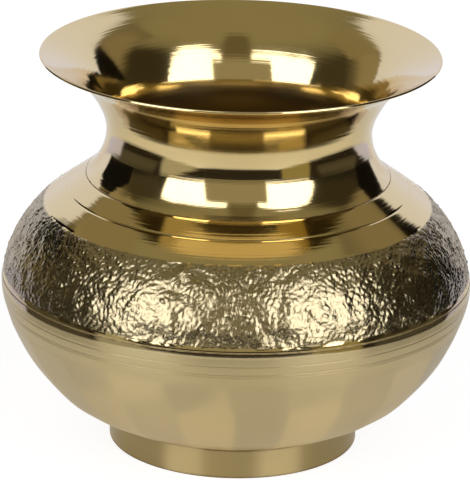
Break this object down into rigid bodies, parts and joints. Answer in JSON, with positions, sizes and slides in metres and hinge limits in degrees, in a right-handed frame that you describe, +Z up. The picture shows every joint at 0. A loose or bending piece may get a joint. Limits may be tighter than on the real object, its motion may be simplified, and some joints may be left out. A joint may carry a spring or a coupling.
{
  "type": "kalash pot",
  "caption": "Round-bellied brass water pot with a flared trumpet mouth, waisted neck, hammered relief band, planished bowl and plain ring foot; stands free and holds liquid or grain.",
  "frame": {"origin": "on the pot's axis, in the plane that the foot ring stands on", "axes": "+Z up along the pot's axis, towards the mouth; the pot is the same all round, so +X and +Y are free"},
  "size_m": [0.141, 0.141, 0.1203],
  "materials": {
    "polished_brass": "lathe-polished bright yellow brass with faint turning lines",
    "relief_brass": "polished shoulder above a band of punched, pitted relief with darkened hollows",
    "planished_brass": "bright brass with shallow overlapping hammer flats and turned lines",
    "satin_brass": "satin brushed brass",
    "braze_filler": "dull brass brazing filler, slightly darker than the sheet"
  },
  "bodies": {
    "root": {"mouth_collar": "polished_brass", "upper_body": "relief_brass", "lower_bowl": "planished_brass", "foot_ring": "satin_brass", "neck_braze_seam": "braze_filler", "girth_braze_seam": "braze_filler", "foot_braze_seam": "braze_filler"}
  },
  "joints": []
}
